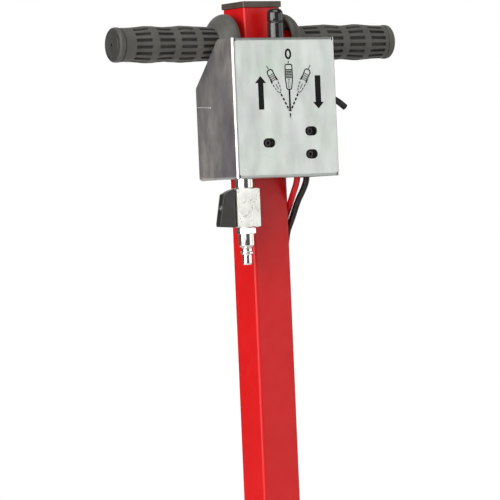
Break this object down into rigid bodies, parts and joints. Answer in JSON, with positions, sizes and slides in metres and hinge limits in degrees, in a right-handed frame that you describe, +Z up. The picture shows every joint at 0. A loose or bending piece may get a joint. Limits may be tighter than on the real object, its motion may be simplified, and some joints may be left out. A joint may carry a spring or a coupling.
{
  "type": "pneumatic control handle",
  "caption": "Square steel handle column with a T-bar, guarded rubber grips, a sheet-metal control box with a hand-lever air valve, a shut-off valve with a quick plug, and air hoses.",
  "frame": {"origin": "centre of the foot plate's underside, on the column's axis", "axes": "+Z up along the column, +X along the T-bar, with the control panel facing -Y; the shut-off valve is on the -X side of the box and the hoses are on its +X side"},
  "size_m": [0.302, 0.1017, 0.72],
  "materials": {
    "red_paint": "semi-gloss powder coat",
    "black_plastic": "moulded, lightly textured",
    "grip_rubber": "matt moulded rubber",
    "zinc_sheet": "zinc-plated sheet",
    "nickel": "nickel-plated brass",
    "steel": "zinc-plated",
    "black_steel": "black oxide",
    "aluminium": "satin machined",
    "red_hose": "smooth polyurethane tube",
    "black_hose": "smooth polyurethane tube",
    "seat_plastic": "white PTFE",
    "seal_rubber": "soft black rubber"
  },
  "bodies": {
    "root": {"column_tube": "red_paint", "column_cap": "black_plastic", "foot_plate": "red_paint", "lift_port_fitting": "nickel", "lower_port_fitting": "nickel", "handle_bar": "red_paint", "left_grip": "grip_rubber", "right_grip": "grip_rubber", "box_cover": "zinc_sheet", "mounting_bracket": "zinc_sheet", "bracket_screw_1": "steel", "bracket_screw_2": "steel", "bracket_screw_3": "steel", "bracket_screw_4": "steel", "valve_body": "aluminium", "valve_screw_1": "black_steel", "valve_screw_2": "black_steel", "valve_screw_3": "black_steel", "centring_spring": "steel", "spool_end_plug": "nickel", "lever_pivot_pin": "steel", "red_hose_fitting": "nickel", "black_hose_fitting": "nickel", "exhaust_fitting": "nickel", "red_hose": "red_hose", "black_hose": "black_hose", "exhaust_tube": "black_hose", "hose_grommet": "seal_rubber", "exhaust_grommet": "seal_rubber", "bulkhead_nipple": "nickel", "bulkhead_nut": "nickel", "supply_elbow": "nickel", "ball_valve_body": "nickel", "upper_ball_seat": "seat_plastic", "lower_ball_seat": "seat_plastic", "plug_nipple": "nickel"},
    "lever": {"control_lever": "steel", "lever_knob": "black_plastic"},
    "spool": {"valve_spool": "steel", "spool_seal_1": "seal_rubber", "spool_seal_2": "seal_rubber"},
    "shutoff": {"valve_ball": "nickel", "valve_stem": "nickel", "ball_valve_handle": "black_plastic", "handle_screw": "steel"}
  },
  "joints": [
    {"name": "lever_swing", "type": "hinge", "parent": "root", "child": "lever", "pos_m": [0.0035, -0.037, 0.598], "axis": [0, 1, 0], "range_deg": [-25, 25], "stiffness_Nm_per_rad": 1.5},
    {"name": "spool_slide", "type": "slide", "parent": "root", "child": "spool", "axis": [1, 0, 0], "range_m": [-0.0058, 0.0058]},
    {"name": "shutoff_turn", "type": "hinge", "parent": "root", "child": "shutoff", "pos_m": [-0.0654, -0.038, 0.526], "axis": [-1, 0, 0], "range_deg": [0, 90]}
  ],
  "couplings": [
    {"joint": "spool_slide", "follows": "lever_swing", "m_per_rad": -0.013}
  ]
}
